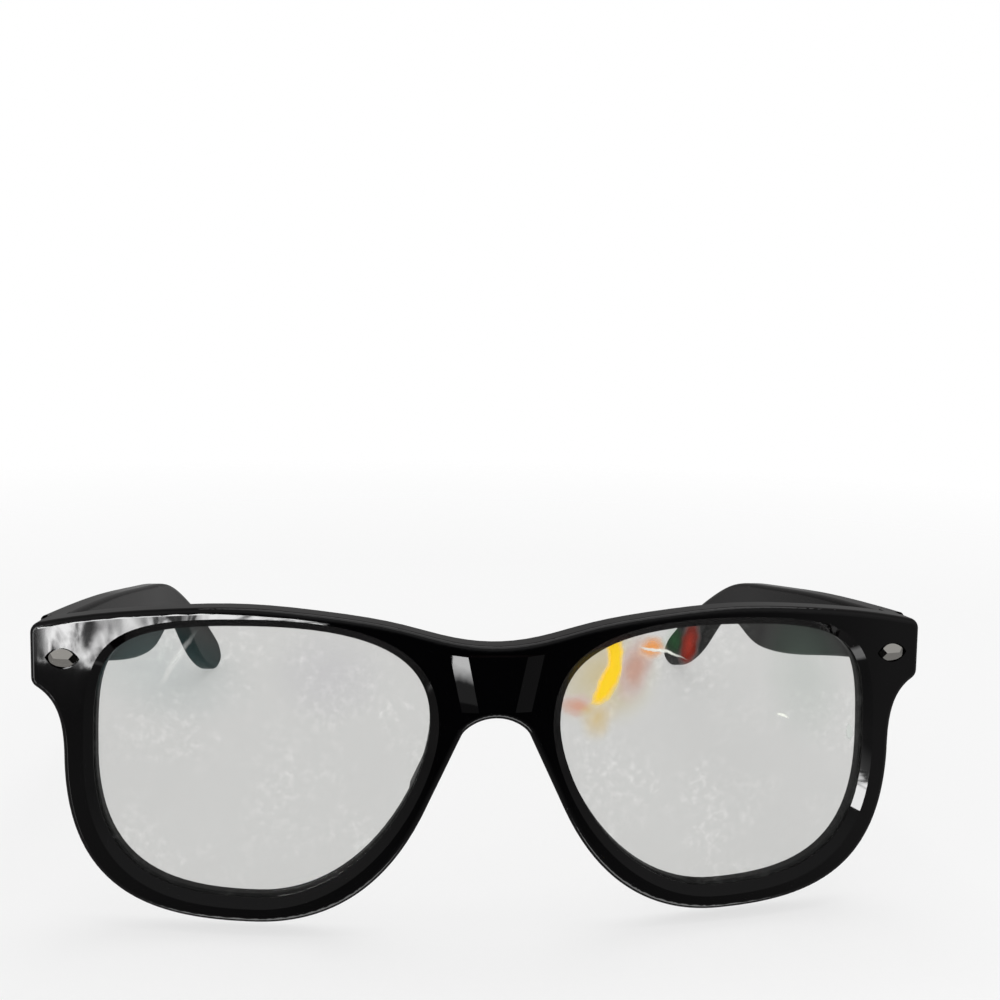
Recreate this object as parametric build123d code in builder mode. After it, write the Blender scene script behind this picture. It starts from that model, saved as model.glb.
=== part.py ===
from build123d import *
import os
from math import asin, atan2, cos, radians, sin

# Diffraction glasses: a one-piece moulded front with two curved clear lenses, a grating film
# behind each lens, two temples on three-knuckle metal hinges, and a metal inlay on each corner.
# Millimetres, +Z up as the open glasses stand on a table, +X towards the wearer's left,
# +Y from the front towards the ears. The origin is the top of the nose arch, on the front face.
# The pieces of the wearer's left side are modelled, and the right side mirrors them.

# The front, measured along its own face: x sideways, height up from the nose arch
front_lean = 3.3
face_radius = 282.0
front_thickness = 4.4
brow_rim = 2.9
bridge_height = 11.4
brow_shares = ((0.207, 0.835), (0.372, 0.947), (0.538, 1.0), (0.717, 0.968), (0.883, 0.888))
brow_end_slope = 0.25
face_edge_radius = 1.0
cut_overrun = 5.0

# Lens openings: four curves that join the furthest points of each side. The places of these points
# are shares of the half width and half height, and each curve's handles reach a share of the way
# towards the opening's corner.
opening_width = 52.6
opening_height = 43.2
opening_gap = 20.4
opening_top = 14.1
outer_point_share = 0.0
inner_point_share = 0.3
middle_point_share = 0.02
handle_shares = ((0.8, 0.95), (0.9, 0.45), (0.3, 0.65), (0.5, 0.9))
rim_width = 3.6
rim_side_width = 4.5
rim_bevel = 1.3

# Corners that carry the temples, and the concave curve from each corner down to the rim
corner_reach = 5.2
corner_top = 13.4
corner_bottom = 3.9
corner_round = 1.8
corner_handle_shares = ((0.65, 0.15), (1.0, 0.35))
corner_thickness = 4.7
corner_depth = 5.52

# Nose arch, the straight sides below it, the moulded nose pads and the raised keystone
nose_start_share = (-0.855, -0.282)
nose_handle_shares = (0.6, 0.6)
arch_half_width = 5.2
arch_drop = 2.3
arch_end_radius = 3.0
pad_width = 3.0
pad_inset = 1.8
pad_depth = 9.5
pad_taper = 4.0
pad_end_radius = 0.7
pad_shares = (0.2, 0.92)
keystone_rise = 0.9
keystone_foot = 0.3
keystone_top_half_width = 7.9
keystone_bottom_half_width = 6.1
keystone_bevel = 3.3
keystone_margin = 1.15
keystone_end_bevel = 0.2

# Lenses and films, in a groove inside the rim
groove_depth = 0.8
groove_start = 1.5
lens_thickness = 1.05
film_thickness = 0.25
seat_gap = 0.05

# Temples: along = distance from the hinge pin, heights = shares of the temple's height
temple_length = 138.5
temple_height = 14.8
temple_thickness = 4.4
temple_tip_thickness = 3.6
temple_droop = 7.5
temple_bow = 4.5
bow_start_share = 0.5
upper_shares = (
    (0.24, 0.49), (0.44, 0.53), (0.60, 0.49), (0.69, 0.32), (0.79, 0.04), (0.89, -0.31), (0.955, -0.6),
)
lower_shares = (
    (0.94, -1.19), (0.87, -1.0), (0.80, -0.67), (0.73, -0.27), (0.65, -0.05), (0.57, -0.17),
    (0.50, -0.38), (0.43, -0.45), (0.22, -0.36),
)
tip_shares = ((0.992, -0.85), (1.0, -1.02), (0.983, -1.16))
temple_edge_share = 0.058
butt_gap = 0.3

# Hinges: two knuckles on the front, one on the temple, and a slotted screw through all three
pin_inset = 6.3
knuckle_radius = 1.3
knuckle_height = 2.0
knuckle_gap = 0.15
leaf_thickness = 1.2
front_leaf_width = 5.1
front_leaf_recess = 4.1
temple_leaf_start = 2.05
temple_leaf_length = 4.8
temple_leaf_sunk = 0.6
peg_radius = 0.6
peg_length = 1.5
peg_spacing = 3.6
screw_radius = 0.65
screw_fit = 0.05
screw_seat_fit = 0.03
screw_head_radius = 1.05
screw_head_height = 0.7
screw_slot_width = 0.3
screw_slot_depth = 0.35

# Corner inlays: a pointed oval of metal with a ridge, on a pin in the corner
inlay_inset = 5.3
inlay_height = 8.3
inlay_length = 5.0
inlay_width = 2.9
inlay_ring = 0.4
inlay_sunk = 0.7
inlay_base = 0.5
inlay_crown = 0.55
inlay_ridge_share = 0.5
inlay_pin_radius = 0.6
inlay_pin_length = 1.6

# Places worked out from the dimensions
opening_centre_x = (opening_gap + opening_width) / 2
opening_centre_height = opening_top - opening_height / 2
brow_height = opening_top + brow_rim
rim_outer_x = opening_centre_x + opening_width / 2 + rim_side_width
half_width = rim_outer_x + corner_reach
inlay_x = half_width - inlay_inset
hinge_level = (corner_top + corner_bottom) / 2
pin_x = half_width - pin_inset
corner_face_depth = face_radius - (face_radius**2 - half_width**2) ** 0.5
butt_depth = corner_face_depth + corner_depth
front_leaf_seat_depth = butt_depth - front_leaf_recess
pin_depth = butt_depth + butt_gap / 2
corner_inner_x = half_width - corner_thickness
temple_outer_x = half_width
temple_inner_x = temple_outer_x - temple_thickness
groove_end = groove_start + lens_thickness + film_thickness + 2 * seat_gap
knuckle_step = knuckle_height + knuckle_gap
temple_edge_radius = temple_edge_share * temple_height
leaf_height = knuckle_height + 2 * knuckle_step
corner_half_height = (corner_top - corner_bottom) / 2
front_leaf_x = pin_x + knuckle_radius - front_leaf_width / 2
temple_leaf_x = temple_inner_x - temple_leaf_sunk
temple_leaf_depth = pin_depth + temple_leaf_start
front_peg_places = [(front_leaf_x, hinge_level + side * peg_spacing / 2) for side in (-1, 1)]
temple_peg_places = [(side * peg_spacing / 2, temple_leaf_length / 2) for side in (-1, 1)]
tall_cut = 2 * half_width

# Planes: the front's face, seen square on, and the plan view square to it
lean = radians(front_lean)
front_plane = Plane(origin=(0, 0, 0), x_dir=(1, 0, 0), z_dir=(0, -cos(lean), sin(lean)))
plan_plane = Plane(origin=(0, 0, 0), x_dir=(1, 0, 0), z_dir=(0, sin(lean), cos(lean)))
hinge_plane = plan_plane.offset(hinge_level)
droop = radians(front_lean + temple_droop)
pin_point = hinge_plane.from_local_coords((pin_x, pin_depth, 0))
pin_origin = (0, pin_point.Y, pin_point.Z)
temple_side_plane = Plane(origin=pin_origin, x_dir=(0, cos(droop), -sin(droop)), z_dir=(1, 0, 0))
temple_plan_plane = Plane(origin=pin_origin, x_dir=(1, 0, 0), z_dir=(0, sin(droop), cos(droop)))

temple_leaf_plane = Plane(
    origin=hinge_plane.from_local_coords((temple_leaf_x, temple_leaf_depth, 0)),
    x_dir=-hinge_plane.z_dir,
    z_dir=(1, 0, 0),
)
inlay_turn = asin(inlay_x / face_radius)
inlay_plane = Plane(
    origin=plan_plane.from_local_coords((inlay_x, face_radius * (1 - cos(inlay_turn)), inlay_height)),
    x_dir=plan_plane.x_dir * cos(inlay_turn) + plan_plane.y_dir * sin(inlay_turn),
    z_dir=plan_plane.x_dir * sin(inlay_turn) - plan_plane.y_dir * cos(inlay_turn),
)
up_axis = Axis((0, 0, 0), plan_plane.z_dir)
depth_axis = Axis((0, 0, 0), plan_plane.y_dir)

os.makedirs("parts", exist_ok=True)


def save(piece, name):
    """Label one piece and write it."""
    piece.label = name
    export_step(piece, f"parts/{name}.step")


def save_pair(piece, name):
    """Write the wearer's left piece and its mirror image for the right."""
    save(piece, f"{name}_left")
    save(mirror(piece, about=Plane.YZ), f"{name}_right")


def opening_point(across, up, grow, outer_grow):
    """A point of the left lens opening, moved out by a margin, and by another on the outer side."""
    return (
        opening_centre_x + across * (opening_width / 2 + (outer_grow if across > 0 else grow)),
        opening_centre_height + up * (opening_height / 2 + grow),
    )


def between(start, end, share):
    """The point a share of the way from one point to another."""
    return tuple(a + share * (b - a) for a, b in zip(start, end))


def opening_curves(grow, outer_grow):
    """Control points of an opening's four curves: upper outer, upper inner, lower inner, lower outer."""
    furthest = [(1, outer_point_share), (middle_point_share, 1)]
    furthest += [(-1, inner_point_share), (middle_point_share, -1)]
    corners = [(1, 1), (-1, 1), (-1, -1), (1, -1)]
    curves = []
    ends = furthest[1:] + furthest[:1]
    for start, end, corner, (first, second) in zip(furthest, ends, corners, handle_shares):
        points = [start, between(start, corner, first), between(end, corner, second), end]
        curves.append([opening_point(across, up, grow, outer_grow) for across, up in points])
    return curves


def opening_face(plane, grow):
    """The left lens opening as a face on a plane, grown by a margin all round."""
    with BuildSketch(plane) as opening:
        with BuildLine():
            for points in opening_curves(grow, grow):
                Bezier(*points)
        make_face()
    return opening.sketch


def curved_plate(grow, start, end):
    """A plate with the lens opening's outline between two depths behind the curved face."""
    with BuildPart() as plate:
        extrude(opening_face(front_plane.offset(cut_overrun), grow), amount=-tall_cut / 2)
        with BuildSketch(plan_plane.offset(-tall_cut / 2)):
            with Locations((0, face_radius)):
                Circle(face_radius - start)
                Circle(face_radius - end, mode=Mode.SUBTRACT)
        extrude(amount=tall_cut, mode=Mode.INTERSECT)
    return plate.part


def pointed_oval(length, width):
    """Two arcs that meet at points, centred on the sketch's origin."""
    with BuildSketch(mode=Mode.PRIVATE) as oval:
        with BuildLine():
            ThreePointArc((-length / 2, 0), (0, width / 2), (length / 2, 0))
            ThreePointArc((length / 2, 0), (0, -width / 2), (-length / 2, 0))
        make_face()
    return oval.sketch


def roof_points(half_length, half_ridge):
    """A roof's profile over an inlay's base: out from the corner first, then across."""
    low, top = seat_gap - inlay_sunk, inlay_base + inlay_crown - inlay_sunk
    points = [(low, half_length), (inlay_base - inlay_sunk, half_length), (top, half_ridge)]
    points += [(out, -across) for out, across in reversed(points)]
    return list(dict.fromkeys(points))


def both_sides(shape):
    """A shape and its mirror image."""
    return [shape, mirror(shape, about=Plane.YZ)]


def keystone_points(inset, end_inset):
    """Corners of the keystone's outline, drawn in by an inset at its sides and its ends."""
    top = keystone_top_half_width - inset
    bottom = keystone_bottom_half_width - inset
    high = bridge_height - keystone_margin - end_inset
    low = keystone_margin + end_inset
    return [(-top, high), (top, high), (bottom, low), (-bottom, low)]


def pad_point(share):
    """A point on a nose pad's middle line, a share of the way down the nose side."""
    run_x, run_y = nose_start[0] - arch_half_width, nose_start[1] + arch_drop
    run = (run_x**2 + run_y**2) ** 0.5
    return (
        arch_half_width + share * run_x - pad_inset * run_y / run,
        -arch_drop + share * run_y + pad_inset * run_x / run,
    )


def nose_pad():
    """A nose pad: a slot shape that narrows towards its rounded end."""
    with BuildPart() as pad:
        with BuildSketch(front_plane.offset(-front_thickness / 2)):
            (start_x, start_y), (end_x, end_y) = (pad_point(share) for share in pad_shares)
            SlotCenterPoint(((start_x + end_x) / 2, (start_y + end_y) / 2), (end_x, end_y), pad_width)
        extrude(amount=-(pad_depth - front_thickness / 2), taper=pad_taper)
        fillet(pad.faces().sort_by(depth_axis)[-1].edges(), radius=pad_end_radius)
        extrude(opening_face(front_plane, 0), amount=-tall_cut / 2, mode=Mode.SUBTRACT)
    return pad.part


def inlay_seat():
    """The recess and the pin hole of a corner inlay."""
    with BuildPart() as seat:
        with BuildSketch(inlay_plane.offset(-inlay_sunk)):
            add(pointed_oval(inlay_length + 2 * inlay_ring, inlay_width + inlay_ring))
        extrude(amount=cut_overrun)
        with BuildSketch(inlay_plane.offset(-inlay_sunk)):
            Circle(inlay_pin_radius + seat_gap)
        extrude(amount=-inlay_pin_length - seat_gap)
    return seat.part


def front_leaf_seat():
    """The pocket and the peg holes of a front leaf, in the back of a corner."""
    with BuildPart() as seat:
        with BuildSketch(front_plane.offset(-front_leaf_seat_depth + seat_gap)):
            with Locations((front_leaf_x, hinge_level)):
                Rectangle(front_leaf_width + 2 * seat_gap, leaf_height + 2 * seat_gap)
        extrude(amount=-cut_overrun)
        with BuildSketch(front_plane.offset(-front_leaf_seat_depth)):
            with Locations(*front_peg_places):
                Circle(peg_radius + seat_gap)
        extrude(amount=peg_length + seat_gap)
    return seat.part


def temple_leaf_seat():
    """The pocket and the peg holes of a temple leaf, in the inner face of a temple."""
    with BuildPart() as seat:
        with BuildSketch(hinge_plane.offset(-leaf_height / 2 - seat_gap)):
            with Locations((temple_leaf_x - cut_overrun, temple_leaf_depth - seat_gap)):
                Rectangle(
                    leaf_thickness + cut_overrun + seat_gap,
                    temple_leaf_length + 2 * seat_gap,
                    align=(Align.MIN, Align.MIN),
                )
        extrude(amount=leaf_height + 2 * seat_gap)
        with BuildSketch(temple_leaf_plane):
            with Locations(*temple_peg_places):
                Circle(peg_radius + seat_gap)
        extrude(amount=leaf_thickness + peg_length + seat_gap)
        with BuildSketch(hinge_plane.offset(-knuckle_height / 2 - seat_gap)):
            with Locations((temple_inner_x - cut_overrun, butt_depth)):
                Rectangle(
                    cut_overrun + leaf_thickness / 2,
                    temple_leaf_depth - butt_depth + seat_gap,
                    align=(Align.MIN, Align.MIN),
                )
        extrude(amount=knuckle_height + 2 * seat_gap)
    return seat.part


def temple_long_edges(blank):
    """The edges along a temple and round its tip, without those of its square front end."""
    front_end = front_plane.offset(-butt_depth - butt_gap)
    sides = blank.faces().filter_by(lambda f: abs(f.normal_at().X) > 0.7)
    edges = [edge for face in sides for edge in face.edges()]
    return [
        edge for edge in edges
        if abs(front_end.to_local_coords(edge @ 0.5).Z) > temple_edge_radius
        and abs(edge.tangent_at(0.5).dot(up_axis.direction)) < 0.98
    ]


def widest_curved_face(front):
    """The curved face that spans the whole front."""
    return front.faces().filter_by(GeomType.CYLINDER).sort_by(lambda f: f.bounding_box().size.X)[-1]


# The silhouette of the front's left half: brow, corner, outer side, rim and nose side
brow_points = [(0, bridge_height)] + [(a * half_width, b * brow_height) for a, b in brow_shares]
brow_points.append((half_width, corner_top))
rim_curves = opening_curves(rim_width, rim_side_width)
corner_end, rim_side = (half_width, corner_bottom), rim_curves[0][0]
corner_curve = [corner_end]
corner_curve += [
    (corner_end[0] + a * (rim_side[0] - corner_end[0]), corner_end[1] + b * (rim_side[1] - corner_end[1]))
    for a, b in corner_handle_shares
]
corner_curve.append(rim_side)
rim_bottom = rim_curves[3][0]
arch_end = (arch_half_width, -arch_drop)
nose_start = opening_point(*nose_start_share, rim_width, rim_side_width)
nose_curve = [
    rim_bottom,
    between(rim_bottom, (nose_start[0], rim_bottom[1]), nose_handle_shares[0]),
    between(nose_start, arch_end, -nose_handle_shares[1]),
    nose_start,
]
arch_radius = (arch_half_width**2 + arch_drop**2) / (2 * arch_drop)
arch_angle = atan2(arch_half_width, arch_radius - arch_drop) / 2
arch_middle = (arch_radius * sin(arch_angle), arch_radius * cos(arch_angle) - arch_radius)

with BuildPart() as front_frame:
    with BuildSketch(front_plane.offset(cut_overrun)) as silhouette:
        with BuildLine():
            Spline(*brow_points, tangents=[(1, 0), (1, -brow_end_slope)])
            Line(brow_points[-1], corner_end)
            Bezier(*corner_curve)
            Bezier(*reversed(rim_curves[3]))
            Bezier(*nose_curve)
            Line(nose_start, arch_end)
            ThreePointArc(arch_end, arch_middle, (0, 0))
            Line((0, 0), brow_points[0])
        make_face()
        mirror(about=Plane.YZ)
        fillet([v for v in silhouette.vertices() if abs(v.X) > half_width - seat_gap], radius=corner_round)
        low_points = [v for v in silhouette.vertices() if abs(v.Y + arch_drop) < seat_gap]
        arch_ends = [v for v in low_points if abs(v.X) < 2 * arch_half_width]
        fillet(arch_ends, radius=arch_end_radius)
    extrude(amount=-tall_cut / 2)
    # Seen from above the front is a curved band with a straight block at each corner
    with BuildSketch(plan_plane.offset(-tall_cut / 2)):
        with Locations((0, face_radius)):
            Circle(face_radius)
            Circle(face_radius - front_thickness, mode=Mode.SUBTRACT)
        block_start = corner_face_depth + front_thickness / 2
        block_depth = butt_depth - block_start
        for side, align in ((-1, Align.MAX), (1, Align.MIN)):
            with Locations((side * corner_inner_x, block_start)):
                Rectangle(corner_thickness + cut_overrun, block_depth, align=(align, Align.MIN))
    extrude(amount=tall_cut, mode=Mode.INTERSECT)

    # The keystone: a raised panel between two slanted strips on the bridge
    with BuildSketch(front_plane.offset(-keystone_foot)):
        Polygon(*keystone_points(0, 0), align=None)
    with BuildSketch(front_plane.offset(keystone_rise)):
        Polygon(*keystone_points(keystone_bevel, keystone_end_bevel), align=None)
    loft()
    # The rounded edge of the face, all the way round
    face = widest_curved_face(front_frame)
    fillet(face.outer_wire().edges(), radius=face_edge_radius)
    # Lens openings with a bevel towards the face
    for opening in both_sides(opening_face(front_plane.offset(cut_overrun), 0)):
        extrude(opening, amount=-tall_cut / 2, mode=Mode.SUBTRACT)
    face = widest_curved_face(front_frame)
    openings = [wire for wire in face.inner_wires() if wire.length > opening_width + opening_height]
    chamfer([edge for wire in openings for edge in wire.edges()], length=rim_bevel)
    # Moulded nose pads on the back of the rims, beside the nose
    for pad in both_sides(nose_pad()):
        add(pad)
    # The groove that holds lens and film
    for groove in both_sides(curved_plate(groove_depth, groove_start, groove_end)):
        add(groove, mode=Mode.SUBTRACT)
    # Seats for the corner inlays and the front leaves of the hinges
    for seat in both_sides(inlay_seat()) + both_sides(front_leaf_seat()):
        add(seat, mode=Mode.SUBTRACT)
save(front_frame.part, "front_frame")

# Lenses and grating films share the groove: the film lies on the lens's back
lens_start, film_end = groove_start + seat_gap, groove_end - seat_gap
with BuildPart() as lens:
    add(curved_plate(groove_depth - seat_gap, lens_start, lens_start + lens_thickness))
save_pair(lens.part, "lens")

with BuildPart() as grating_film:
    add(curved_plate(groove_depth - seat_gap, film_end - film_thickness, film_end))
save_pair(grating_film.part, "grating_film")

# A corner inlay with its ridge and its pin
with BuildPart() as corner_inlay:
    with BuildSketch(inlay_plane.offset(seat_gap - inlay_sunk)):
        add(pointed_oval(inlay_length, inlay_width))
    extrude(amount=inlay_base + inlay_crown)
    # The ridge: a roof along the inlay, hipped at its ends
    for direction, length, ridge in (
        (inlay_plane.x_dir, inlay_width, 0),
        (inlay_plane.y_dir, inlay_length, inlay_ridge_share * inlay_length),
    ):
        profile_plane = Plane(inlay_plane.origin, x_dir=inlay_plane.z_dir, z_dir=direction)
        with BuildSketch(profile_plane.offset(-inlay_length)):
            Polygon(*roof_points(length / 2, ridge / 2), align=None)
        extrude(amount=2 * inlay_length, mode=Mode.INTERSECT)
    with BuildSketch(inlay_plane.offset(seat_gap - inlay_sunk)):
        Circle(inlay_pin_radius)
    extrude(amount=-inlay_pin_length)
save_pair(corner_inlay.part, "corner_inlay")

# A temple: its side view cut out of its plan view, then cut square to meet the corner
upper_points = [(-cut_overrun, corner_half_height)]
upper_points += [(a * temple_length, b * temple_height) for a, b in upper_shares]
lower_points = [(a * temple_length, b * temple_height) for a, b in lower_shares]
lower_points.append((-cut_overrun, -corner_half_height))
tip_points = [(a * temple_length, b * temple_height) for a, b in tip_shares]
bow_start = bow_start_share * temple_length
tip_outer_x = temple_outer_x - temple_bow
thinning = temple_thickness - temple_tip_thickness
bow_inner_x = temple_inner_x + thinning / 2

with BuildPart() as temple:
    with BuildSketch(temple_side_plane.offset(pin_x - cut_overrun)) as side_view:
        with BuildLine():
            Spline(*upper_points, *tip_points, *lower_points)
            Line(lower_points[-1], upper_points[0])
        make_face()
    extrude(amount=3 * cut_overrun)
    with BuildSketch(temple_plan_plane.offset(-temple_length)):
        with BuildLine():
            Line((temple_inner_x, -cut_overrun), (temple_outer_x, -cut_overrun))
            Line((temple_outer_x, -cut_overrun), (temple_outer_x, bow_start))
            outer_bow = TangentArc(
                (temple_outer_x, bow_start), (tip_outer_x, temple_length + cut_overrun), tangent=(0, 1)
            )
            Line(outer_bow @ 1, (tip_outer_x - temple_tip_thickness, temple_length + cut_overrun))
            inner_side = Line((temple_inner_x, -cut_overrun), (bow_inner_x, bow_start))
            TangentArc(
                (bow_inner_x, bow_start),
                (tip_outer_x - temple_tip_thickness, temple_length + cut_overrun),
                tangent=inner_side % 1,
            )
        make_face()
    extrude(amount=2 * temple_length, mode=Mode.INTERSECT)
    with BuildSketch(front_plane.offset(-butt_depth - butt_gap)):
        with Locations((pin_x, hinge_level)):
            Rectangle(temple_height * 2, temple_height * 2)
    extrude(amount=2 * cut_overrun, mode=Mode.SUBTRACT)
    fillet(temple_long_edges(temple), radius=temple_edge_radius)
    add(temple_leaf_seat(), mode=Mode.SUBTRACT)
save_pair(temple.part, "temple")

# The front leaf: a plate sunk in the corner's back, two pegs and the outer knuckles
with BuildPart() as front_leaf:
    with BuildSketch(front_plane.offset(-front_leaf_seat_depth)):
        with Locations((front_leaf_x, hinge_level)):
            Rectangle(front_leaf_width, leaf_height)
    extrude(amount=-leaf_thickness)
    with BuildSketch(front_plane.offset(-front_leaf_seat_depth)):
        with Locations(*front_peg_places):
            Circle(peg_radius)
    extrude(amount=peg_length)
    for level in (-knuckle_step, knuckle_step):
        with BuildSketch(hinge_plane.offset(level - knuckle_height / 2)):
            with Locations((pin_x, pin_depth)):
                Circle(knuckle_radius)
            with Locations((pin_x, front_leaf_seat_depth)):
                Rectangle(
                    2 * knuckle_radius, pin_depth - front_leaf_seat_depth, align=(Align.CENTER, Align.MIN)
                )
        extrude(amount=knuckle_height)
    with BuildSketch(hinge_plane.offset(-leaf_height)):
        with Locations((pin_x, pin_depth)):
            Circle(screw_radius + screw_seat_fit)
    extrude(amount=2 * leaf_height, mode=Mode.SUBTRACT)
save_pair(front_leaf.part, "front_hinge_leaf")

# The temple leaf: a plate sunk in the temple's inner face, two pegs and the middle knuckle
with BuildPart() as temple_leaf:
    with BuildSketch(hinge_plane.offset(-leaf_height / 2)):
        with Locations((temple_leaf_x, temple_leaf_depth)):
            Rectangle(leaf_thickness, temple_leaf_length, align=(Align.MIN, Align.MIN))
    extrude(amount=leaf_height)
    with BuildSketch(temple_leaf_plane):
        with Locations(*temple_peg_places):
            Circle(peg_radius)
    extrude(amount=leaf_thickness + peg_length)
    with BuildSketch(hinge_plane.offset(-knuckle_height / 2)):
        with Locations((pin_x, pin_depth)):
            Circle(knuckle_radius)
        with Locations((pin_x, pin_depth + butt_gap)):
            Rectangle(
                temple_leaf_x + leaf_thickness / 2 - pin_x,
                temple_leaf_start + knuckle_radius,
                align=(Align.MIN, Align.MIN),
            )
    extrude(amount=knuckle_height)
    with BuildSketch(hinge_plane.offset(-knuckle_height)):
        with Locations((pin_x, pin_depth)):
            Circle(screw_radius + screw_fit)
    extrude(amount=2 * knuckle_height, mode=Mode.SUBTRACT)
save_pair(temple_leaf.part, "temple_hinge_leaf")

# The hinge screw, with a slotted head on the top knuckle
with BuildPart() as hinge_screw:
    with BuildSketch(hinge_plane.offset(-leaf_height / 2)):
        with Locations((pin_x, pin_depth)):
            Circle(screw_radius)
    extrude(amount=leaf_height)
    with BuildSketch(hinge_plane.offset(leaf_height / 2)):
        with Locations((pin_x, pin_depth)):
            Circle(screw_head_radius)
    extrude(amount=screw_head_height)
    with BuildSketch(hinge_plane.offset(leaf_height / 2 + screw_head_height - screw_slot_depth)):
        with Locations((pin_x, pin_depth)):
            Rectangle(screw_slot_width, 3 * screw_head_radius)
    extrude(amount=screw_head_height, mode=Mode.SUBTRACT)
save_pair(hinge_screw.part, "hinge_screw")
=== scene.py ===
"""Diffraction glasses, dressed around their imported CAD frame.

The glasses stand open on a pale studio floor: a glossy black moulded front, clear lenses with an
embossed grating film behind each, metal corner inlays, and temples on small metal hinges.
Everything is in metres, in the frame of the CAD model.
"""

import logging
import math
from dataclasses import dataclass
from enum import Enum
from typing import Any

import bpy
from mathutils import Matrix, Vector
from mathutils.geometry import interpolate_bezier


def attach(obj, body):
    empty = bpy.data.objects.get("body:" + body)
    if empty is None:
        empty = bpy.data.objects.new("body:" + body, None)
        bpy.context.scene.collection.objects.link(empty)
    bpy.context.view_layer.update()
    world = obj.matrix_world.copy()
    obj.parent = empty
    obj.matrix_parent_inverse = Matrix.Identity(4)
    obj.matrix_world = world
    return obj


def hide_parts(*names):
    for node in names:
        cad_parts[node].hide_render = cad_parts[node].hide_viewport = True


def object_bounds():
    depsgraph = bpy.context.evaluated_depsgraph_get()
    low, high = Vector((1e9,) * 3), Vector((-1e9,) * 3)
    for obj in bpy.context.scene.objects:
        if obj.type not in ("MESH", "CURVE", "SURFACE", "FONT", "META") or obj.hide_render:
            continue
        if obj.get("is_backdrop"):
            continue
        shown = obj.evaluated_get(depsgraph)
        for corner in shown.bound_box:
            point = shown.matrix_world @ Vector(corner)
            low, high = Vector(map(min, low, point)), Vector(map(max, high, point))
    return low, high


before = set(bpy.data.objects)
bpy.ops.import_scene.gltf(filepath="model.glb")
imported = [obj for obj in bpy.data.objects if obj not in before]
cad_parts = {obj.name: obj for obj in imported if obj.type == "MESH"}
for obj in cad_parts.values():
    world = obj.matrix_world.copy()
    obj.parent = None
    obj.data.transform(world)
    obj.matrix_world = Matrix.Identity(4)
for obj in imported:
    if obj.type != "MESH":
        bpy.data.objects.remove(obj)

MM = 0.001
WHITE = (1.0, 1.0, 1.0, 1.0)
log = logging.getLogger("glasses")

Node = bpy.types.Node
Socket = bpy.types.NodeSocket
Tree = bpy.types.NodeTree


class Side(Enum):
    """The wearer's two sides, and the sign of X on each."""

    LEFT = 1
    RIGHT = -1

    @property
    def suffix(self) -> str:
        """The ending of this side's node names."""
        return self.name.lower()


class Axis(Enum):
    """The axes of a direction, by the names that Blender's nodes give them."""

    X = "X"
    Y = "Y"
    Z = "Z"


def linear(hex_colour: str) -> tuple[float, float, float, float]:
    """Turns an sRGB hex colour into linear values.

    Args:
        hex_colour: Six hex digits, such as "1a1b1c".

    Returns:
        Linear red, green and blue, and a full alpha.
    """
    channels = []
    for start in (0, 2, 4):
        share = int(hex_colour[start : start + 2], 16) / 255
        channels.append(share / 12.92 if share <= 0.04045 else ((share + 0.055) / 1.055) ** 2.4)
    return (channels[0], channels[1], channels[2], 1.0)


def per_metre(feature_mm: float) -> float:
    """The texture scale that gives features of a size in millimetres."""
    return 1.0 / (feature_mm * MM)


def add_node(tree: Tree, kind: str, inputs: Any = (), **settings: Any) -> Node:
    """Adds one node with its settings and links.

    Args:
        tree: The node tree that gets the node.
        kind: Blender's name for the node's type, after "ShaderNode".
        inputs: The inputs in their order, or by name or number. Each is a socket or a node to link,
            of which the first output is taken, or a value to set.
        **settings: Attributes of the node, such as its operation.

    Returns:
        The new node.
    """
    node = tree.nodes.new(f"ShaderNode{kind}")
    for name, value in settings.items():
        setattr(node, name, value)
    for key, value in inputs.items() if isinstance(inputs, dict) else enumerate(inputs):
        if isinstance(value, Node):
            value = value.outputs[0]
        if isinstance(value, Socket):
            tree.links.new(value, node.inputs[key])
        else:
            node.inputs[key].default_value = value
    return node


def new_material(name: str) -> tuple[bpy.types.Material, Tree]:
    """Makes an empty node material.

    Args:
        name: The material's name.

    Returns:
        The material and its node tree, with no nodes in it.
    """
    material = bpy.data.materials.new(name)
    material.use_nodes = True
    material.node_tree.nodes.clear()
    return material, material.node_tree


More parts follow.
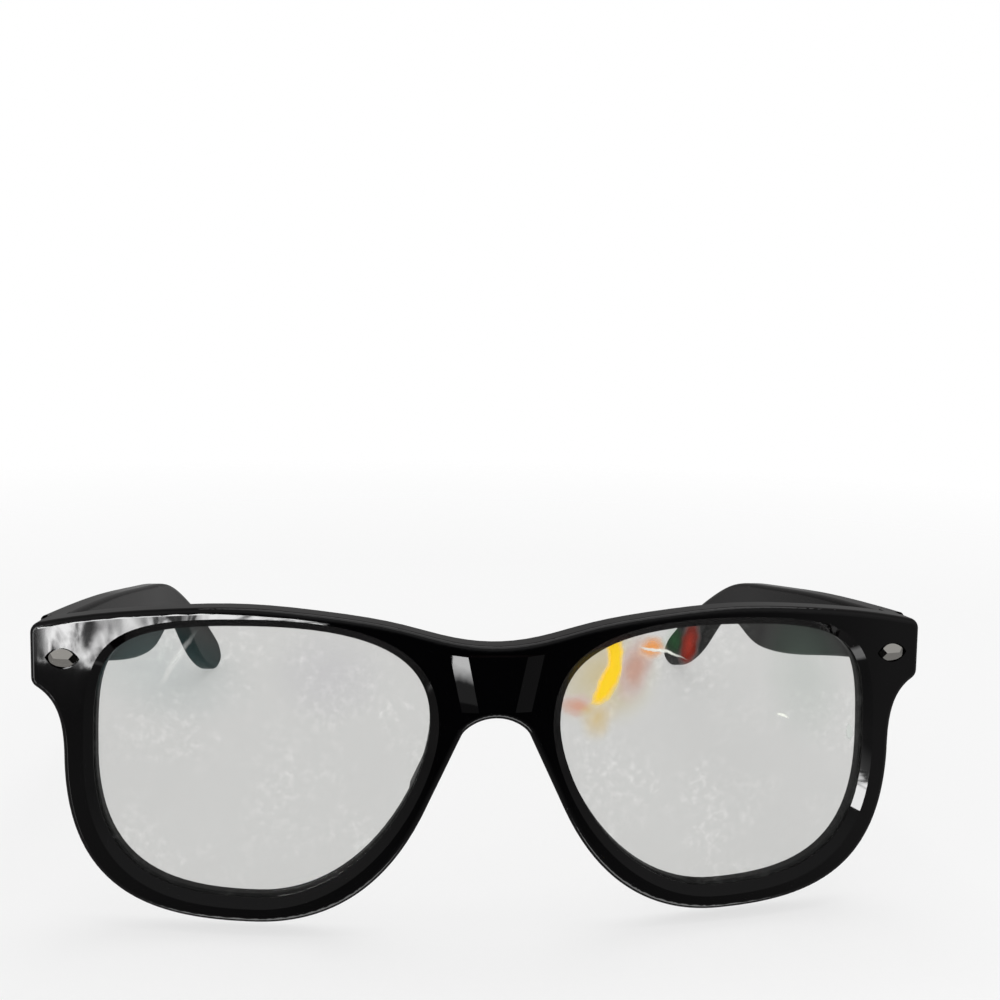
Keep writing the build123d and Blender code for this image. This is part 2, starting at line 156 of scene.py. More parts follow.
@dataclass(frozen=True)
class MouldedBlackPolycarbonate:
    """Injection-moulded polycarbonate from a polished mould, black all through.

    The eye sees a deep black with mirror-like reflections. Their edges waver a little, because the
    moulding has shrunk, and fine wiping marks soften them in places.
    """

    colour: str = "040405"
    edge_colour: str = "120807"
    edge_blend: float = 0.15
    ior: float = 1.45
    specular_level: float = 0.22
    roughness: float = 0.03
    wiped_roughness: float = 0.09
    shrink_mm: float = 7.0
    shrink_depth_mm: float = 0.012
    wipe_mm: float = 16.0
    wipe_range: tuple[float, float] = (0.45, 0.75)

    def material(self) -> bpy.types.Material:
        """Builds the material.

        Returns:
            A glossy black material with wavering reflections.
        """
        material, tree = new_material("moulded_black_polycarbonate_polished")
        where = add_node(tree, "TexCoord").outputs["Object"]
        waves = {"Vector": where, "Scale": per_metre(self.shrink_mm), "Detail": 1.0}
        shrink = add_node(tree, "TexNoise", waves).outputs["Fac"]
        marks = {"Vector": where, "Scale": per_metre(self.wipe_mm), "Detail": 5.0, "Distortion": 1.2}
        wipes = add_node(tree, "TexNoise", marks).outputs["Fac"]
        spread = (wipes, *self.wipe_range, self.roughness, self.wiped_roughness)
        depth = {"Strength": 1.0, "Distance": self.shrink_depth_mm * MM, "Height": shrink}
        # Sharp edges let a little light through, which turns them reddish brown
        slant = add_node(tree, "LayerWeight", {"Blend": self.edge_blend}).outputs["Facing"]
        tones = {0: slant, 6: linear(self.colour), 7: linear(self.edge_colour)}
        inputs = {
            "Base Color": add_node(tree, "Mix", tones, data_type="RGBA").outputs[2],
            "Roughness": add_node(tree, "MapRange", spread),
            "IOR": self.ior,
            "Specular IOR Level": self.specular_level,
            "Normal": add_node(tree, "Bump", depth).outputs["Normal"],
        }
        add_node(tree, "OutputMaterial", {"Surface": add_node(tree, "BsdfPrincipled", inputs)})
        return material


@dataclass(frozen=True)
class ClearPolycarbonateLens:
    """Injection-moulded clear polycarbonate, polished on both faces.

    The eye sees straight through it, with a slight grey tint and weak reflections of the room. They
    are weaker than plain polycarbonate's, as the photographed lenses hardly mirror anything.
    """

    tint: str = "fafaf9"
    ior: float = 1.36
    slant_blend: float = 0.5
    slant_power: float = 5.0
    roughness: float = 0.02

    def material(self) -> bpy.types.Material:
        """Builds the material.

        Returns:
            A clear material that mirrors more at a slant.
        """
        material, tree = new_material("clear_polycarbonate_polished")
        # Both faces mirror alike: a few percent square on, and nearly all at a slant
        slant = add_node(tree, "LayerWeight", {"Blend": self.slant_blend}).outputs["Facing"]
        steep = add_node(tree, "Math", (slant, self.slant_power), operation="POWER")
        square_on = ((self.ior - 1) / (self.ior + 1)) ** 2
        share = add_node(tree, "MapRange", (steep, 0.0, 1.0, square_on, 1.0))
        clear = add_node(tree, "BsdfTransparent", {"Color": linear(self.tint)})
        gloss = add_node(tree, "BsdfAnisotropic", {"Color": WHITE, "Roughness": self.roughness})
        add_node(tree, "OutputMaterial", {"Surface": add_node(tree, "MixShader", (share, clear, gloss))})
        return material


@dataclass(frozen=True)
class LightPatch:
    """A soft oval patch of split light on a grating film, with an edge that wavers.

    Places and sizes are in millimetres on the film, x towards the wearer's left and z up. A
    crescent is an oval with a bite: the same oval, moved by the bite's amount, is taken out of it.
    """

    colour: str
    x: float
    z: float
    half_width: float
    half_height: float
    turn: float = 0.0
    strength: float = 1.0
    softness: float = 0.6
    bite: tuple[float, float] | None = None

    def oval(self, tree: Tree, where: Socket, shift: tuple[float, float]) -> Node:
        """Builds one oval.

        Args:
            tree: The material's node tree.
            where: The film's coordinates.
            shift: How far the oval is moved, in millimetres.

        Returns:
            A node that gives 1 in the middle of the oval, falling to 0 at its edge.
        """
        inputs = {
            "Vector": where,
            "Location": ((self.x + shift[0]) * MM, 0.0, (self.z + shift[1]) * MM),
            "Rotation": (0.0, math.radians(self.turn), 0.0),
            "Scale": (self.half_width * MM, 1.0, self.half_height * MM),
        }
        spot = add_node(tree, "Mapping", inputs, vector_type="TEXTURE")
        fall = add_node(tree, "TexGradient", {"Vector": spot}, gradient_type="SPHERICAL").outputs["Fac"]
        return add_node(tree, "MapRange", (fall, 0.0, self.softness, 0.0, 1.0))

    def shape(self, tree: Tree, where: Socket) -> Node:
        """Builds the patch's shape on the film.

        Args:
            tree: The material's node tree.
            where: The film's coordinates.

        Returns:
            A node that gives 1 inside the patch, falling to 0 at its edge.
        """
        inside = self.oval(tree, where, (0.0, 0.0))
        if self.bite:
            bitten = (inside, self.oval(tree, where, self.bite))
            inside = add_node(tree, "Math", bitten, operation="SUBTRACT", use_clamp=True)
        return inside


@dataclass(frozen=True)
class EmbossedGratingFilm:
    """Polyester film embossed with crossed grating lines, pressed behind a lens.

    The eye sees a faint grey veil with pale specks and wiping marks, and patches of split light
    that run from yellow through orange to a brownish red. The grating itself is a few hundred
    lines per millimetre, far too fine to show, so only what it does to light is drawn.
    """

    name: str
    patches: tuple[LightPatch, ...]
    tint: str = "efefef"
    mottle_tint: str = "fcfcfc"
    veil_colour: str = "f6f8f8"
    veil: float = 0.006
    speck_veil: float = 0.05
    glow: float = 0.55
    tint_reach: float = 0.45
    roughness: float = 0.35
    speck_mm: float = 1.3
    speck_range: tuple[float, float] = (0.5, 0.74)
    cloud_mm: float = 11.0
    cloud_range: tuple[float, float] = (0.44, 0.64)
    waver_mm: float = 3.4
    waver_depth_mm: float = 0.9
    foil_thickness_nm: float = 420.0
    foil_ior: float = 1.64

    def mottles(self, tree: Tree, where: Socket) -> Node:
        """Builds the specks and wiping marks, gathered in clouds.

        Args:
            tree: The material's node tree.
            where: The film's coordinates.

        Returns:
            A node that gives 1 on the marks, falling to 0 between them.
        """
        fine = {"Vector": where, "Scale": per_metre(self.speck_mm), "Detail": 6.0, "Roughness": 0.75}
        specks = add_node(tree, "TexNoise", fine).outputs["Fac"]
        coarse = {"Vector": where, "Scale": per_metre(self.cloud_mm), "Detail": 4.0, "Distortion": 0.6}
        clouds = add_node(tree, "TexNoise", coarse).outputs["Fac"]
        sharp = add_node(tree, "MapRange", (specks, *self.speck_range, 0.0, 1.0))
        soft = add_node(tree, "MapRange", (clouds, *self.cloud_range, 0.0, 1.0))
        return add_node(tree, "Math", (sharp, soft), operation="MULTIPLY")

    def wavered(self, tree: Tree, where: Socket) -> Socket:
        """Builds coordinates that waver, so that patches of light get ragged edges.

        Args:
            tree: The material's node tree.
            where: The film's coordinates.

        Returns:
            The wavering coordinates.
        """
        waves = {"Vector": where, "Scale": per_metre(self.waver_mm), "Detail": 3.0}
        drift = add_node(tree, "TexNoise", waves).outputs["Color"]
        depth = 2 * self.waver_depth_mm * MM
        scale = (drift, (depth,) * 3, (-depth / 2,) * 3)
        moved = add_node(tree, "VectorMath", scale, operation="MULTIPLY_ADD")
        return add_node(tree, "VectorMath", (where, moved), operation="ADD").outputs["Vector"]

    def material(self) -> bpy.types.Material:
        """Builds the material.

        Returns:
            A clear film with its veil and its patches of split light.
        """
        material, tree = new_material(self.name)
        where = add_node(tree, "TexCoord").outputs["Object"]
        ragged = self.wavered(tree, where)
        marks = self.mottles(tree, where)
        cover = add_node(tree, "MapRange", (marks, 0.0, 1.0, self.veil, self.speck_veil))
        colour: Any = linear(self.veil_colour)
        for patch in self.patches:
            shape = patch.shape(tree, ragged)
            tinted = add_node(tree, "MapRange", (shape, 0.0, self.tint_reach, 0.0, 1.0))
            tones = {0: tinted, 6: colour, 7: linear(patch.colour)}
            colour = add_node(tree, "Mix", tones, data_type="RGBA").outputs[2]
            lit = add_node(tree, "MapRange", (shape, 0.0, 1.0, 0.0, patch.strength))
            cover = add_node(tree, "Math", (cover, lit), operation="MAXIMUM")
        tones = {0: marks, 6: linear(self.tint), 7: linear(self.mottle_tint)}
        tint = add_node(tree, "Mix", tones, data_type="RGBA").outputs[2]
        clear = add_node(tree, "BsdfTransparent", {"Color": tint})
        # Painted light: the veil glows a little, which brightens the real specks and wiping marks and draws
        # the patches of split light
        inputs = {
            "Base Color": colour,
            "Emission Color": colour,
            "Emission Strength": self.glow,
            "Roughness": self.roughness,
            "Thin Film Thickness": self.foil_thickness_nm,
            "Thin Film IOR": self.foil_ior,
        }
        veil = add_node(tree, "BsdfPrincipled", inputs)
        add_node(tree, "OutputMaterial", {"Surface": add_node(tree, "MixShader", (cover, clear, veil))})
        return material


@dataclass(frozen=True)
class PolishedNickelInlay:
    """Die-struck brass with a nickel plate, polished on a wheel.

    The eye sees silver with a warm cast, facets that go from light to dark, and fine lines along
    the inlay.
    """

    colour: str = "b0ada8"
    roughness: float = 0.07
    roughness_shares: tuple[float, float] = (0.5, 1.8)
    # The wheel's own lines are finer than 0.05 mm, and are drawn coarser so that they show
    line_mm: float = 0.12
    line_stretch: float = 0.15

    def material(self) -> bpy.types.Material:
        """Builds the material.

        Returns:
            A bright metal with fine polishing lines.
        """
        material, tree = new_material("struck_nickel_polished")
        where = add_node(tree, "TexCoord").outputs["Object"]
        stretch = (self.line_stretch, self.line_stretch, 1.0)
        stretched = add_node(tree, "Mapping", {"Vector": where, "Scale": stretch})
        polish = {"Vector": stretched, "Scale": per_metre(self.line_mm), "Detail": 3.0}
        lines = add_node(tree, "TexNoise", polish).outputs["Fac"]
        smooth, rough = (self.roughness * share for share in self.roughness_shares)
        inputs = {
            "Base Color": linear(self.colour),
            "Metallic": 1.0,
            "Roughness": add_node(tree, "MapRange", (lines, 0.0, 1.0, smooth, rough)),
        }
        add_node(tree, "OutputMaterial", {"Surface": add_node(tree, "BsdfPrincipled", inputs)})
        return material


@dataclass(frozen=True)
class StampedNickelSilver:
    """Nickel silver strip, stamped and tumbled.

    The eye sees a dull silver with small grey blotches from the tumbling.
    """

    colour: str = "b9b4aa"
    dark_colour: str = "8d887e"
    roughness: float = 0.3
    roughness_shares: tuple[float, float] = (0.7, 1.4)
    blotch_mm: float = 0.8

    def material(self) -> bpy.types.Material:
        """Builds the material.

        Returns:
            A dull metal with small blotches.
        """
        material, tree = new_material("stamped_nickel_silver")
        where = add_node(tree, "TexCoord").outputs["Object"]
        tumbling = {"Vector": where, "Scale": per_metre(self.blotch_mm), "Detail": 4.0}
        blotches = add_node(tree, "TexNoise", tumbling).outputs["Fac"]
        tones = {0: blotches, 6: linear(self.dark_colour), 7: linear(self.colour)}
        smooth, rough = (self.roughness * share for share in self.roughness_shares)
        inputs = {
            "Base Color": add_node(tree, "Mix", tones, data_type="RGBA").outputs[2],
            "Metallic": 1.0,
            "Roughness": add_node(tree, "MapRange", (blotches, 0.0, 1.0, smooth, rough)),
        }
        add_node(tree, "OutputMaterial", {"Surface": add_node(tree, "BsdfPrincipled", inputs)})
        return material


def dress(node: str, material: bpy.types.Material) -> bpy.types.Object:
    """Gives a CAD node a material in place of its own.

    Args:
        node: The node's name.
        material: The new material.

    Returns:
        The node's object.
    """
    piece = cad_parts[node]
    piece.data.materials.clear()
    piece.data.materials.append(material)
    log.info("dressed %s with %s", node, material.name)
    return piece


@dataclass
class Front:
    """The moulded front with its two metal corner inlays."""

    plastic: bpy.types.Material
    inlay_metal: bpy.types.Material

    def build(self) -> bpy.types.Object:
        """Dresses the front and its inlays.

        Returns:
            The moulded front.
        """
        for side in Side:
            dress(f"corner_inlay_{side.suffix}", self.inlay_metal)
        return dress("front_frame", self.plastic)


@dataclass(frozen=True)
class LensOutline:
    """The outline of a lens: four curves that join the furthest points of each side.

    Lengths are in millimetres on the front's own face. The furthest points' places are shares of
    the half width and half height, and the handles reach a share of the way to the corners.
    """

    centre_x: float = 36.5
    centre_height: float = -7.5
    half_width: float = 27.05
    half_height: float = 22.35
    outer_share: float = 0.0
    inner_share: float = 0.3
    middle_share: float = 0.02
    handle_shares: tuple[tuple[float, float], ...] = ((0.8, 0.95), (0.9, 0.45), (0.3, 0.65), (0.5, 0.9))
    steps: int = 22

    def points(self) -> list[Vector]:
        """Follows the outline once.

        Returns:
            Points round the lens, as offsets from its centre.
        """
        furthest = [(1, self.outer_share), (self.middle_share, 1)]
        furthest += [(-1, self.inner_share), (self.middle_share, -1)]
        size = Vector((self.half_width, self.half_height))
        knots = [Vector(share) * size for share in furthest]
        corners = [Vector(share) * size for share in ((1, 1), (-1, 1), (-1, -1), (1, -1))]
        outline: list[Vector] = []
        for index, (first, second) in enumerate(self.handle_shares):
            start, end, corner = knots[index], knots[(index + 1) % 4], corners[index]
            handles = start.lerp(corner, first), end.lerp(corner, second)
            outline += interpolate_bezier(start, *handles, end, self.steps + 1)[:-1]
        return outline


@dataclass(frozen=True)
class CurvedSheet:
    """A sheet with a lens's outline, bent round the front's curve.

    Lengths are in millimetres, and depths are measured back from the front's face.
    """

    start: float
    thickness: float
    outline: LensOutline = LensOutline()
    face_radius: float = 282.0
    front_lean: float = 3.3
    rings: int = 14

    def spot(self, side: Side, offset: Vector, depth: float) -> Vector:
        """Places a point of the sheet.

        Args:
            side: The side that the sheet is on.
            offset: How far the point is from the outline's centre, outwards and upwards.
            depth: Its depth behind the face.

        Returns:
            The point in metres, in the CAD frame.
        """
        lean = math.radians(self.front_lean)
        across, height = self.outline.centre_x + offset.x, self.outline.centre_height + offset.y
        back = self.face_radius - math.sqrt((self.face_radius - depth) ** 2 - across**2)
        up = height * math.cos(lean) - back * math.sin(lean)
        along = height * math.sin(lean) + back * math.cos(lean)
        return Vector((side.value * across, along, up)) * MM

    def vertices(self, side: Side, offsets: list[Vector]) -> list[Vector]:
        """Places the points of the front layer and then of the back layer.

        Args:
            side: The side that the sheet is on.
            offsets: The outline's points.

        Returns:
            The middle point of each layer and its rings, from the inside outwards.
        """
        vertices = []
        for depth in (self.start, self.start + self.thickness):
            vertices.append(self.spot(side, Vector((0.0, 0.0)), depth))
            for ring in range(1, self.rings + 1):
                vertices += [self.spot(side, offset * (ring / self.rings), depth) for offset in offsets]
        return vertices

    def faces(self, side: Side, count: int) -> list[tuple[int, ...]]:
        """Joins the points to a closed mesh with outward faces.

        Args:
            side: The side that the sheet is on.
            count: How many points each ring has.

        Returns:
            The faces of both layers and of the rim between them.
        """
        layer = 1 + self.rings * count
        faces: list[tuple[int, ...]] = []
        for middle in (0, layer):
            for step in range(count):
                near, far = middle + 1 + step, middle + 1 + (step + 1) % count
                faces.append((middle, near, far))
                for ring in range(self.rings - 1):
                    inner, outer = ring * count, (ring + 1) * count
                    faces.append((near + inner, near + outer, far + outer, far + inner))
            if middle == 0:
                faces = [face[::-1] for face in faces]
        rim, back_rim = layer - count, 2 * layer - count
        for step in range(count):
            after = (step + 1) % count
            faces.append((rim + step, rim + after, back_rim + after, back_rim + step))
        return faces if side is Side.LEFT else [face[::-1] for face in faces]

    def build(self, name: str, side: Side, material: bpy.types.Material) -> bpy.types.Object:
        """Builds the sheet as a closed mesh with smooth faces and sharp rims.

        Args:
            name: The sheet's name.
            side: The side that it is on.
            material: Its material.

        Returns:
            The sheet.
        """
        offsets = self.outline.points()
        count = len(offsets)
        mesh = bpy.data.meshes.new(name)
        mesh.from_pydata(self.vertices(side, offsets), [], self.faces(side, count))
        mesh.shade_smooth()
        layer = 1 + self.rings * count
        rims = [range(end - count, end) for end in (layer, 2 * layer)]
        for edge in mesh.edges:
            edge.use_edge_sharp = any(all(end in rim for end in edge.vertices) for rim in rims)
        mesh.materials.append(material)
        sheet = bpy.data.objects.new(name, mesh)
        bpy.context.scene.collection.objects.link(sheet)
        return sheet


@dataclass
class LensUnit:
    """One clear lens with the grating film behind it, in the same groove of the front."""

    side: Side
    clear: bpy.types.Material
    film: bpy.types.Material
    lens: CurvedSheet = CurvedSheet(start=1.55, thickness=1.05)
    grating: CurvedSheet = CurvedSheet(start=2.605, thickness=0.245)

    def build(self) -> None:
        """Builds the lens and its film with smooth faces, in place of the CAD sheets."""
        for kind, sheet, finish, slot in (
            ("lens", self.lens, self.clear, "clear_plastic"),
            ("grating_film", self.grating, self.film, "film"),
        ):
            piece = sheet.build(f"{kind}_sheet_{self.side.suffix}", self.side, finish)
            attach(piece, "front")
            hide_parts(f"{kind}_{self.side.suffix}")
            log.info("built %s in place of %s_%s", piece.name, kind, self.side.suffix)


@dataclass
class TempleUnit:
    """One temple with its hinge."""

    side: Side
    plastic: bpy.types.Material
    hinge_metal: bpy.types.Material

    def build(self) -> None:
        """Dresses the temple, both hinge leaves and the screw."""
        dress(f"temple_{self.side.suffix}", self.plastic)
        for node in ("front_hinge_leaf", "temple_hinge_leaf", "hinge_screw"):
            dress(f"{node}_{self.side.suffix}", self.hinge_metal)


@dataclass(frozen=True)
class Window:
    """A bright pane that shows only as a reflection, such as a window with trees outside.

    Its corners are given in metres. Sky shows where the trees' noise, raised with height, passes
    from the first haze value to the second.
    """

    name: str = "window"
    corners: tuple[tuple[float, float, float], ...] = (
        (-0.300, -0.20, -0.049),
        (-0.075, -0.20, -0.034),
        (-0.075, -0.20, 0.060),
        (-0.300, -0.20, 0.090),
    )
    strength: float = 52.0
    shade_share: float = 0.03
    tree_mm: float = 26.0
    sky_per_metre: float = 3.0
    haze: tuple[float, float] = (0.37, 0.52)

    def daylight(self) -> bpy.types.Material:
        """Builds the light that comes in through the pane.

        Returns:
            An emission material that the trees break up.
        """
        material, tree = new_material("daylight_through_trees")
        where = add_node(tree, "TexCoord").outputs["Object"]
        branches = {"Vector": where, "Scale": per_metre(self.tree_mm)}
        branches |= {"Detail": 6.0, "Roughness": 0.7, "Distortion": 0.8}
        trees = add_node(tree, "TexNoise", branches).outputs["Fac"]
        # More sky shows higher up, so the lower edge is broken up by the trees
        height = add_node(tree, "SeparateXYZ", (where,)).outputs["Z"]
        open_sky = add_node(tree, "Math", (height, self.sky_per_metre, trees), operation="MULTIPLY_ADD")
        spread = (open_sky, *self.haze, self.shade_share * self.strength, self.strength)
        light = add_node(tree, "MapRange", spread)
        add_node(tree, "OutputMaterial", {"Surface": add_node(tree, "Emission", {"Strength": light})})
        return material

    def build(self, mirrors: list[bpy.types.Object]) -> bpy.types.Object:
        """Hangs the pane.

        Args:
            mirrors: The pieces that show it.

        Returns:
            The pane, hidden from the camera.
        """
        mesh = bpy.data.meshes.new(self.name)
        mesh.from_pydata(self.corners, [], [(0, 1, 2, 3)])
        mesh.materials.append(self.daylight())
        pane = bpy.data.objects.new(self.name, mesh)
        bpy.context.scene.collection.objects.link(pane)
        pane.visible_camera = False
        pane.visible_diffuse = False
        pane.visible_shadow = False
        pane.visible_transmission = False
        shown_in = bpy.data.collections.new(f"shows_the_{self.name}")
        for piece in mirrors:
            shown_in.objects.link(piece)
        pane.light_linking.receiver_collection = shown_in
        pane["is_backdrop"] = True
        return pane


# A small card close to the bridge, which lights the left edge of its raised panel, brighter upwards
BRIDGE_CARD = Window(
    name="bridge_card",
    corners=(
        (-0.0475, -0.053, -0.0215),
        (-0.0385, -0.053, -0.0215),
        (-0.0385, -0.053, -0.0095),
        (-0.0475, -0.053, -0.0095),
    ),
    strength=30.0,
    tree_mm=60.0,
    sky_per_metre=90.0,
    haze=(-1.1, -0.75),
)


@dataclass(frozen=True)
class FarCard:
    """A white card in the distance in front of the glasses, which only gloss shows.

    It fills the directions whose share along one axis and along Y lie beyond two edges.
    """

    axis: Axis
    edge: float
    front_edge: float
    light: float
    fade: float = 0.05
    front_fade: float = 0.06

    def added(self, tree: Tree, axes: Any, shine: Node) -> Node:
        """Adds the card to what gloss shows.

        Args:
            tree: The world's node tree.
            axes: The shares of the direction along X, Y and Z.
            shine: The light that gloss shows without the card.

        Returns:
            A node that gives the light with the card.
        """
        full = self.edge - self.fade
        across = add_node(tree, "MapRange", (axes[self.axis.value], self.edge, full, 0.0, self.light))
        front_full = self.front_edge - self.front_fade
        forward = add_node(tree, "MapRange", (axes[Axis.Y.value], self.front_edge, front_full, 0.0, 1.0))
        return add_node(tree, "Math", (across, forward, shine), operation="MULTIPLY_ADD")


@dataclass
class Studio:
    """The sheet of paper that the glasses stand on, the light, the world and the camera."""

    window: Window = Window()
    bridge_card: Window = BRIDGE_CARD
    low_card: FarCard = FarCard(Axis.Z, edge=-0.74, front_edge=-0.28, light=8.0)
    side_card: FarCard = FarCard(Axis.X, edge=-0.76, front_edge=-0.40, light=7.0)
    paper_middle: tuple[float, float] = (0.0, 0.09)
    paper_radius: float = 0.62
    paper_solid_share: float = 0.35
    paper_front: float = -0.10
    paper_front_fade: float = 0.085
    paper_gloss_cover: float = 0.15
    paper_colour: str = "f2f2f2"
    paper_white: float = 0.68
    room_light: float = 0.55
    front_shine: float = 0.02
    front_reach: tuple[float, float] = (-0.96, -0.6)
    wall_dimming: float = 0.65
    wall_reach: tuple[float, float] = (-0.3, 0.25)
    height_reach: tuple[float, float] = (-0.5, 0.5)
    height_shares: tuple[float, float] = (0.25, 0.7)
    lamp_strength: float = 1.15
    lamp_spread: float = 55.0
    lamp_turn: tuple[float, float, float] = (-18.0, 8.0, 0.0)
    focal_length: float = 38.99
    sensor_width: float = 36.0
    clip_start: float = 0.005
    camera_place_mm: tuple[float, float, float] = (-16.29, -163.23, 47.83)
    camera_yaw: float = -5.693
    camera_pitch: float = -4.769
    camera_roll: float = -0.867
    front_lean: float = 3.3

    def build_camera(self) -> bpy.types.Object:
        """Sets the camera at the photograph's viewing angle.

        Returns:
            The camera, which is also the scene's.
        """
        data = bpy.data.cameras.new("camera")
        data.lens = self.focal_length
        data.sensor_width = self.sensor_width
        data.clip_start = self.clip_start
        camera = bpy.data.objects.new("camera", data)
        lean = Matrix.Rotation(math.radians(-self.front_lean), 4, "X")
        stand = Matrix.Translation(Vector(self.camera_place_mm) * MM)
        turn = Matrix.Rotation(math.radians(self.camera_yaw), 4, "Z")
        turn = turn @ Matrix.Rotation(math.radians(self.camera_pitch), 4, "X")
        turn = turn @ Matrix.Rotation(math.radians(self.camera_roll), 4, "Y")
        camera.matrix_world = lean @ stand @ turn @ Matrix.Rotation(math.radians(90), 4, "X")
        bpy.context.scene.collection.objects.link(camera)
        bpy.context.scene.camera = camera
        return camera

    def build_floor(self, height: float) -> bpy.types.Object:
        """Lays the sheet of paper under the glasses.

        Args:
            height: The paper's height, at the lowest point of the glasses.

        Returns:
            The paper.
        """
        (middle_x, middle_y), reach = self.paper_middle, self.paper_radius
        left, right, front, back = middle_x - reach, middle_x + reach, self.paper_front, middle_y + reach
        corners = [(left, front, height), (right, front, height), (right, back, height), (left, back, height)]
        mesh = bpy.data.meshes.new("paper_floor")
        mesh.from_pydata(corners, [], [(0, 1, 2, 3)])
        floor = bpy.data.objects.new("paper_floor", mesh)
        bpy.context.scene.collection.objects.link(floor)
        material, tree = new_material("matt_white_paper")
        matt = add_node(tree, "BsdfDiffuse", {"Color": linear(self.paper_colour)})
        white = add_node(tree, "Emission", {"Strength": 1.0})
        # To the camera, through the lenses and in gloss, the paper is nearly as white as the background
        share = add_node(tree, "Math", (self.seen(tree), self.paper_white), operation="MULTIPLY")
        paper = add_node(tree, "MixShader", (share, matt, white))
        beyond = add_node(tree, "BsdfTransparent")
        faded = add_node(tree, "MixShader", (self.paper_cover(tree), beyond, paper))
        add_node(tree, "OutputMaterial", {"Surface": faded})
        mesh.materials.append(material)
        floor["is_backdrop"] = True
        return floor

    def paper_cover(self, tree: Tree) -> Node:
        """Fades the paper into the white around it, and sooner at its front edge.

        Args:
            tree: The paper's node tree.

        Returns:
            A node that gives 1 where the paper is solid and 0 where it has faded out.
        """
        where = add_node(tree, "TexCoord").outputs["Object"]
        offset = add_node(tree, "VectorMath", (where, (*self.paper_middle, 0.0)), operation="SUBTRACT")
        flat = add_node(tree, "VectorMath", (offset, (1.0, 1.0, 0.0)), operation="MULTIPLY")
        distance = add_node(tree, "VectorMath", (flat,), operation="LENGTH").outputs["Value"]
        solid = self.paper_solid_share * self.paper_radius
        round_fade = add_node(tree, "MapRange", (distance, solid, self.paper_radius, 1.0, 0.0))
        along = add_node(tree, "SeparateXYZ", (where,)).outputs["Y"]
        solid_front = self.paper_front + self.paper_front_fade
        near = add_node(tree, "MapRange", (along, self.paper_front, solid_front, 0.0, 1.0))
        cover = add_node(tree, "Math", (round_fade, near), operation="MULTIPLY")
        # Gloss shows the paper only faintly, which keeps the plastic as black as it was photographed
        gloss = add_node(tree, "LightPath").outputs["Is Glossy Ray"]
        dimming = add_node(tree, "MapRange", (gloss, 0.0, 1.0, 1.0, self.paper_gloss_cover))
        return add_node(tree, "Math", (cover, dimming), operation="MULTIPLY")

    def seen(self, tree: Tree) -> Node:
        """1 for rays from the camera, in gloss and through clear plastic, otherwise 0."""
        path = add_node(tree, "LightPath").outputs
        straight = (path["Is Camera Ray"], path["Is Transmission Ray"])
        first = add_node(tree, "Math", straight, operation="MAXIMUM")
        return add_node(tree, "Math", (first, path["Is Glossy Ray"]), operation="MAXIMUM")

    def mirrored(self, tree: Tree) -> Node:
        """Builds what gloss shows of the room.

        It is bright to both sides, dimmer behind the glasses and dark on the viewer's side of them.
        The low card draws a thin line along the lower edges. The side card stands far out to the
        wearer's right.

        Args:
            tree: The world's node tree.

        Returns:
            A node that gives the light of each direction.
        """
        direction = add_node(tree, "TexCoord").outputs["Generated"]
        axes = add_node(tree, "SeparateXYZ", (direction,)).outputs
        sides = add_node(tree, "MapRange", (axes["Y"], *self.front_reach, self.front_shine, 1.0))
        wall = add_node(tree, "MapRange", (axes["Y"], *self.wall_reach, 0.0, -self.wall_dimming))
        around = add_node(tree, "Math", (sides, wall), operation="ADD")
        upward = add_node(tree, "MapRange", (axes["Z"], *self.height_reach, *self.height_shares))
        shine = add_node(tree, "Math", (around, upward), operation="MULTIPLY")
        for card in (self.low_card, self.side_card):
            shine = card.added(tree, axes, shine)
        return shine

    def build_world(self) -> None:
        """Lights the scene softly all round and shows white behind the glasses."""
        world = bpy.data.worlds.new("studio")
        world.use_nodes = True
        tree = world.node_tree
        tree.nodes.clear()
        path = add_node(tree, "LightPath").outputs
        room = add_node(tree, "Background", (WHITE, self.room_light))
        shine = add_node(tree, "Background", (WHITE, self.mirrored(tree)))
        backdrop = add_node(tree, "Background", (WHITE, 1.0))
        inside = add_node(tree, "MixShader", (path["Is Glossy Ray"], room, shine))
        straight = (path["Is Camera Ray"], path["Is Transmission Ray"])
        seen = add_node(tree, "Math", straight, operation="MAXIMUM")
        shown = add_node(tree, "MixShader", (seen, inside, backdrop))
        add_node(tree, "OutputWorld", {"Surface": shown})
        bpy.context.scene.world = world

    def build_lamp(self) -> bpy.types.Object:
        """Hangs one broad lamp, a little behind the glasses.

        Returns:
            The lamp.
        """
        data = bpy.data.lights.new("overhead", "SUN")
        data.energy = self.lamp_strength
        data.angle = math.radians(self.lamp_spread)
        lamp = bpy.data.objects.new("overhead", data)
        lamp.rotation_euler = [math.radians(turn) for turn in self.lamp_turn]
        bpy.context.scene.collection.objects.link(lamp)
        return lamp

    def build(self, height: float, mirrors: list[bpy.types.Object]) -> None:
        """Builds the whole studio.

        Args:
            height: The floor's height.
            mirrors: The pieces that show the window and the bridge card.
        """
        self.build_camera()
        self.build_floor(height)
        self.build_world()
        self.build_lamp()
        self.window.build(mirrors)
        self.bridge_card.build(mirrors)
        bpy.context.scene.view_settings.view_transform = "Standard"
        log.info("studio built, floor at %.1f mm", height / MM)


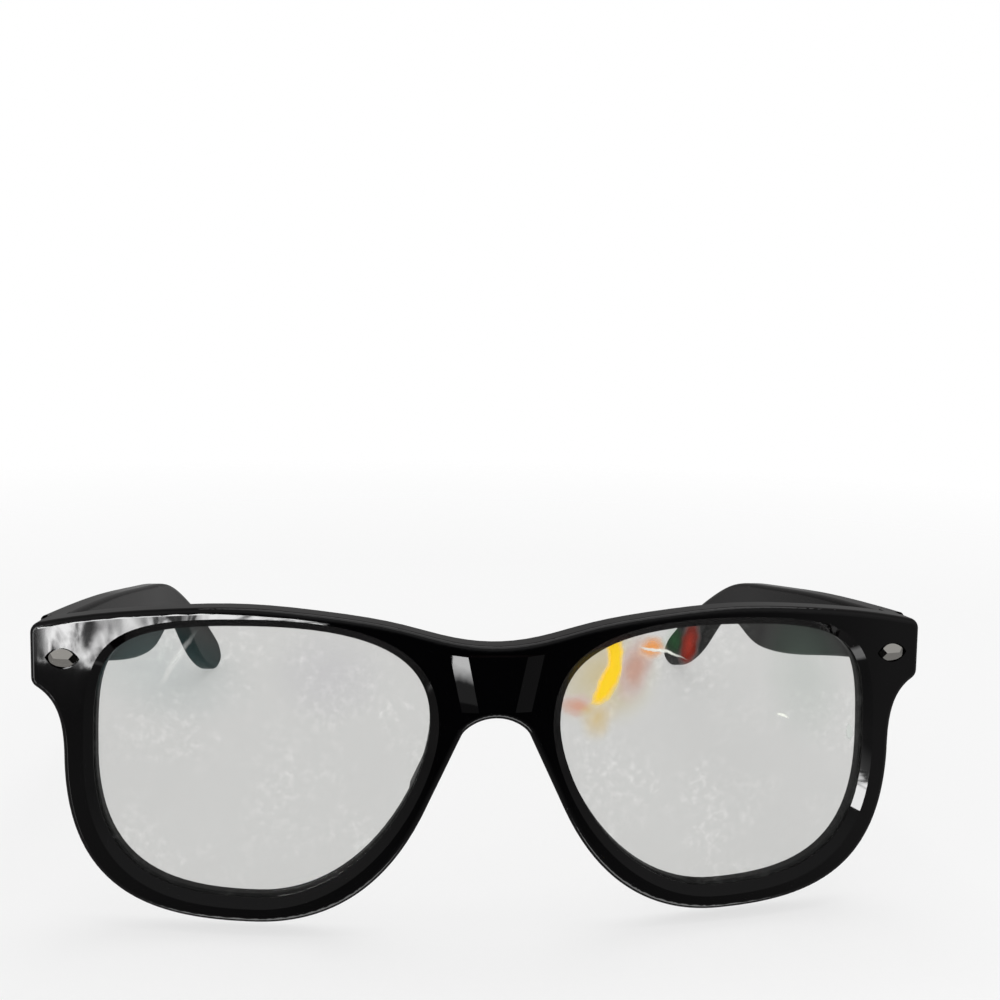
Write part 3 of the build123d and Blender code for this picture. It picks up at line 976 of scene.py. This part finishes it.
# Each row: colour, x, z, half width, half height, turn, strength, softness and bite
LIGHT_PATCHES: dict[Side, tuple[LightPatch, ...]] = {
    Side.RIGHT: (
        LightPatch("6f9ba0", -52.0, 6.0, 17.0, 10.0, 12.0, 0.08, 0.9),
        LightPatch("8a78a8", -26.0, 6.0, 11.0, 9.0, 0.0, 0.05, 0.9),
        LightPatch("f0f4f5", -49.5, 8.0, 0.7, 6.0, 32.0, 0.25, 0.9),
    ),
    Side.LEFT: (
        LightPatch("d2b400", 17.5, 6.0, 10.5, 10.0, 0.0, 0.28, 0.9),
        LightPatch("c86a14", 22.5, 7.0, 3.4, 6.4, 14.0, 0.34, 0.8),
        LightPatch("e07a14", 13.6, 0.8, 4.6, 2.2, 14.0, 0.34, 0.8),
        LightPatch("e0b814", 16.5, -1.0, 3.4, 4.4, 20.0, 0.30, 0.9),
        LightPatch("f09a20", 25.0, 10.2, 2.6, 2.1, 0.0, 0.60, 0.8),
        LightPatch("ffd91e", 17.0, 7.0, 3.6, 6.6, 12.0, 0.92, 0.30, (-2.4, 0.6)),
        LightPatch("2f9a4c", 28.6, 11.2, 2.2, 2.8, 0.0, 0.10, 0.95),
        LightPatch("e03418", 31.3, 10.6, 1.9, 4.4, 10.0, 0.26, 0.95),
        LightPatch("f2f2ee", 27.0, 9.4, 4.6, 0.30, 15.0, 0.80, 0.7),
        LightPatch("8fa89a", 52.0, 4.0, 9.0, 15.0, -14.0, 0.09, 0.9),
        LightPatch("fbfbf6", 48.4, -2.4, 1.3, 0.3, 28.0, 0.80, 0.5),
        LightPatch("d8dcda", 61.0, -6.0, 0.8, 1.8, 8.0, 0.40, 0.4),
    ),
}


def main() -> None:
    """Builds each part of the glasses and the studio."""
    logging.basicConfig(level=logging.INFO, format="%(name)s: %(message)s")
    cad_low, cad_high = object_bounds()
    black = MouldedBlackPolycarbonate().material()
    moulding = Front(black, PolishedNickelInlay().material()).build()
    hinge_metal = StampedNickelSilver().material()
    clear = ClearPolycarbonateLens().material()
    for side in Side:
        film = EmbossedGratingFilm(f"embossed_grating_film_{side.suffix}", LIGHT_PATCHES[side]).material()
        LensUnit(side, clear, film).build()
        TempleUnit(side, black, hinge_metal).build()
    Studio().build(cad_low.z, [moulding])


if __name__ == "__main__":
    main()
